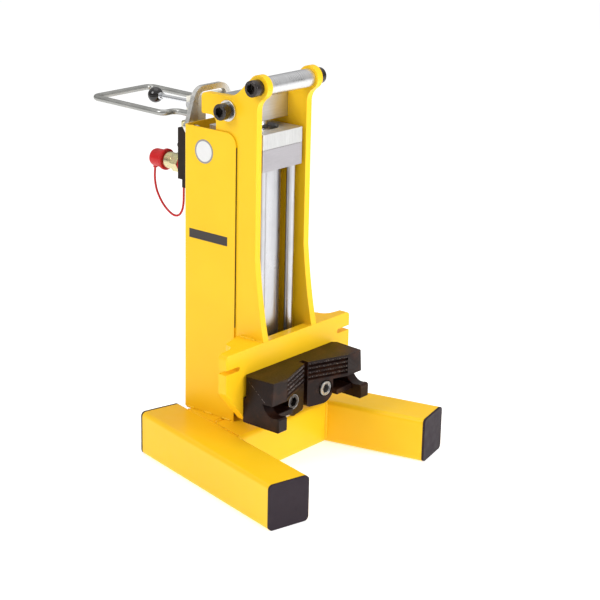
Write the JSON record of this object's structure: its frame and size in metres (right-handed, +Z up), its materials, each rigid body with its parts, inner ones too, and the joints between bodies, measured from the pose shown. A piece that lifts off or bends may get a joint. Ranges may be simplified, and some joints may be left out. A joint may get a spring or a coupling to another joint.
{
  "type": "hydraulic post puller",
  "caption": "Free-standing hydraulic puller that grips a post in a serrated V jaw and lifts it with an upright cylinder.",
  "frame": {"origin": "centre of the bounding box, on the floor", "axes": "+Z up along the cylinder; the jaw and the open ends of the legs face -Y; +X to the machine's right seen from the handle"},
  "size_m": [0.5336, 0.6609, 0.78],
  "materials": {
    "yellow_paint": "glossy powder coat with fine orange peel",
    "black_plastic": "moulded, slightly textured",
    "machined_steel": "ground and brushed",
    "honed_steel": "bright drawn",
    "chromed_rod": "hard chrome",
    "dark_steel": "oiled and worn",
    "zinc_plate": "zinc plated",
    "black_screw": "black oxide",
    "jaw_steel": "phosphated, worn bright along the teeth",
    "black_casting": "satin black",
    "lever_block_metal": "cast, bead blasted",
    "knob_black": "polished phenolic",
    "yellow_zinc": "yellow passivated zinc",
    "red_vinyl": "soft moulded vinyl"
  },
  "bodies": {
    "base": {"leg_tube_left": "yellow_paint", "leg_tube_right": "yellow_paint", "end_cap_rear_left": "black_plastic", "end_cap_front_left": "black_plastic", "end_cap_rear_right": "black_plastic", "end_cap_front_right": "black_plastic", "cross_tube_front": "yellow_paint", "cross_tube_rear": "yellow_paint", "column_cover": "yellow_paint", "cylinder_base": "machined_steel", "cylinder_barrel": "honed_steel", "cylinder_head": "machined_steel", "gland_flange": "machined_steel", "gland_nut": "dark_steel", "tie_rod_front_left": "honed_steel", "tie_rod_front_right": "honed_steel", "tie_rod_rear_right": "honed_steel", "tie_rod_rear_left": "honed_steel", "handle_bracket": "zinc_plate", "loop_handle": "zinc_plate", "bracket_bolt_right": "zinc_plate", "bracket_bolt_left": "zinc_plate", "valve_body": "black_casting", "valve_end_cap": "black_casting", "valve_plug": "yellow_zinc", "centring_spring": "machined_steel", "lever_block": "lever_block_metal", "lever_pin": "machined_steel", "coupling_supply": "yellow_zinc", "coupling_return": "yellow_zinc", "lanyard_ring_supply": "red_vinyl", "lanyard_ring_return": "red_vinyl", "lanyard_supply": "red_vinyl", "lanyard_return": "red_vinyl", "pipe_upper": "zinc_plate", "pipe_lower": "zinc_plate"},
    "lift": {"piston": "machined_steel", "piston_rod": "chromed_rod", "crosshead": "machined_steel", "pivot_washer_right": "zinc_plate", "pivot_washer_left": "zinc_plate", "pivot_bolt_right": "black_screw", "pivot_bolt_left": "black_screw"},
    "yoke": {"side_plate_right": "yellow_paint", "side_plate_left": "yellow_paint", "spacer_tube": "machined_steel", "spacer_bolt_right": "black_screw", "spacer_bolt_left": "black_screw", "front_plate": "yellow_paint", "wing_gusset_right": "yellow_paint", "wing_gusset_left": "yellow_paint", "jaw_block": "jaw_steel", "jaw_screw_right": "dark_steel", "jaw_screw_left": "dark_steel", "guide_shoe": "black_plastic"},
    "lever": {"control_lever": "chromed_rod", "control_knob": "knob_black"},
    "spool": {"valve_spool": "chromed_rod"},
    "cap_supply": {"dust_cap_supply": "red_vinyl"},
    "cap_return": {"dust_cap_return": "red_vinyl"}
  },
  "joints": [
    {"name": "lift_slide", "type": "slide", "parent": "base", "child": "lift", "axis": [0, 0, 1], "range_m": [0, 0.3]},
    {"name": "yoke_tilt", "type": "hinge", "parent": "lift", "child": "yoke", "pos_m": [0, -0.03447, 0.704], "axis": [-1, 0, 0], "range_deg": [0, 10]},
    {"name": "lever_tilt", "type": "hinge", "parent": "base", "child": "lever", "pos_m": [-0.022, 0.09653, 0.691], "axis": [1, 0, 0], "range_deg": [-16, 16], "stiffness_Nm_per_rad": 3},
    {"name": "spool_slide", "type": "slide", "parent": "base", "child": "spool", "axis": [0, 0, 1], "range_m": [-0.0035, 0.0035], "deforming": ["centring_spring"]},
    {"name": "cap_pull_supply", "type": "slide", "parent": "base", "child": "cap_supply", "axis": [0, 1, 0], "range_m": [0, 0.035]},
    {"name": "cap_pull_return", "type": "slide", "parent": "base", "child": "cap_return", "axis": [1, 0, 0], "range_m": [0, 0.035]}
  ],
  "couplings": [
    {"joint": "spool_slide", "follows": "lever_tilt", "m_per_rad": 0.012}
  ]
}
